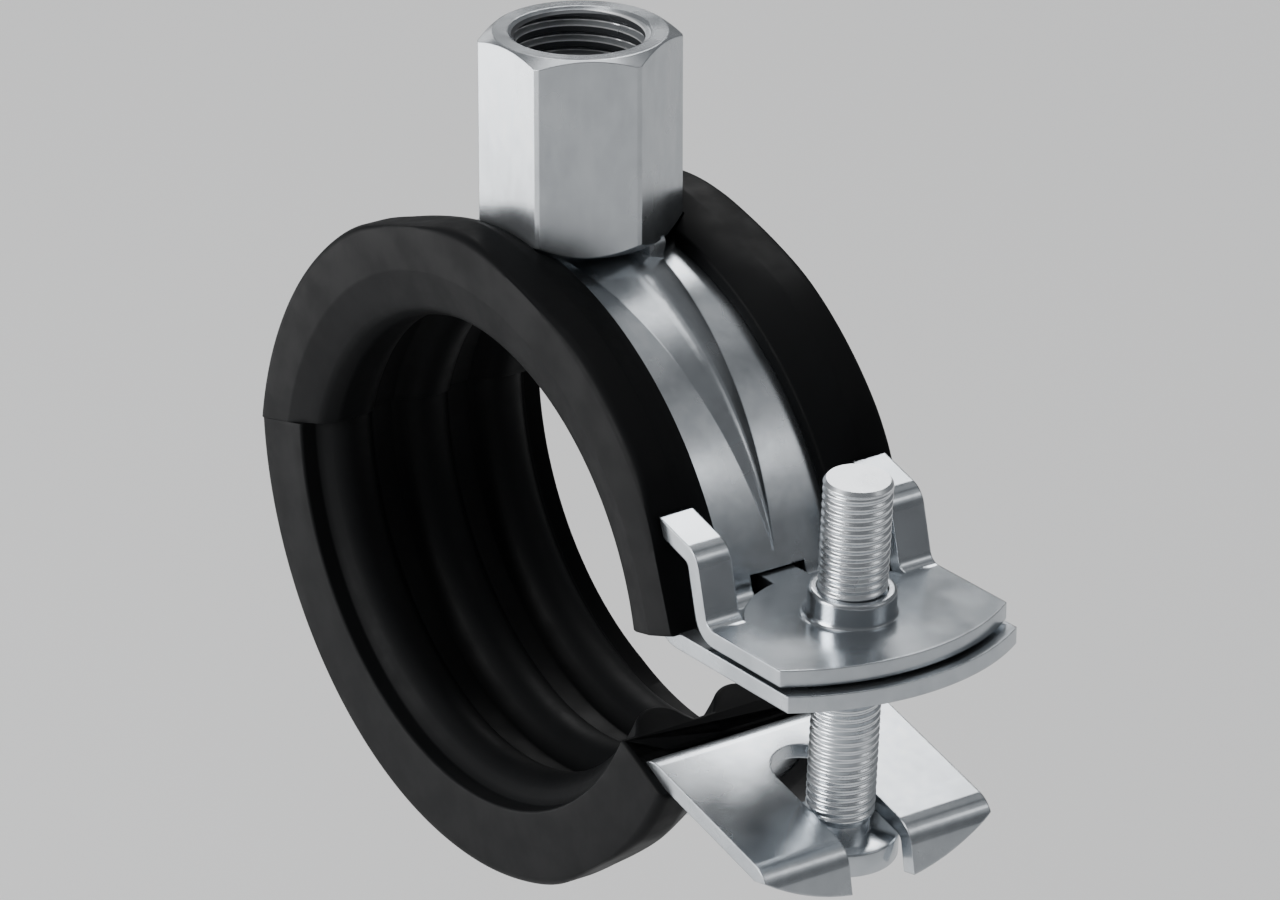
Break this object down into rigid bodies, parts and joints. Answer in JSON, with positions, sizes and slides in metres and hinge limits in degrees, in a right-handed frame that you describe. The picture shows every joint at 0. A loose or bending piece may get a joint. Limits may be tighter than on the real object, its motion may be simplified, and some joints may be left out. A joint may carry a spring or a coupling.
{
  "type": "hinged pipe clamp",
  "caption": "Rubber-lined two-part pipe clamp with a bent-sheet hinge, a snap closure with a swinging screw, and a welded combination nut on top.",
  "frame": {"origin": "on the axis of the upper half's pipe seat, in the middle of the clamp's width", "axes": "+Y along the pipe, +Z through the nut and away from the pipe, +X from the hinge towards the closure"},
  "size_m": [0.0696, 0.0214, 0.0632],
  "materials": {
    "band_steel": "zinc plated, softly mottled",
    "screw_steel": "zinc plated, slightly darker",
    "nut_steel": "zinc plated, turned and drawn hexagon",
    "liner_rubber": "matt black rubber"
  },
  "bodies": {
    "upper_half": {"upper_band": "band_steel", "connection_nut": "nut_steel", "upper_liner": "liner_rubber"},
    "lower_half": {"lower_band": "band_steel", "lower_liner": "liner_rubber"},
    "plate": {"thread_plate": "band_steel"},
    "screw": {"locking_screw": "screw_steel"}
  },
  "joints": [
    {"name": "jaw_hinge", "type": "hinge", "parent": "upper_half", "child": "lower_half", "pos_m": [-0.02436, 0, 0.00504], "axis": [0, -1, 0], "range_deg": [0, 4.85]},
    {"name": "plate_rock", "type": "hinge", "parent": "upper_half", "child": "plate", "pos_m": [0.0244, 0, 0.007], "axis": [0, -1, 0], "range_deg": [0, 0.4]},
    {"name": "screw_travel", "type": "slide", "parent": "plate", "child": "screw", "axis": [0.0642, 0, 0.9979], "range_m": [0, 0.005]}
  ],
  "couplings": [
    {"joint": "jaw_hinge", "follows": "screw_travel", "rad_per_m": 16.82}
  ]
}
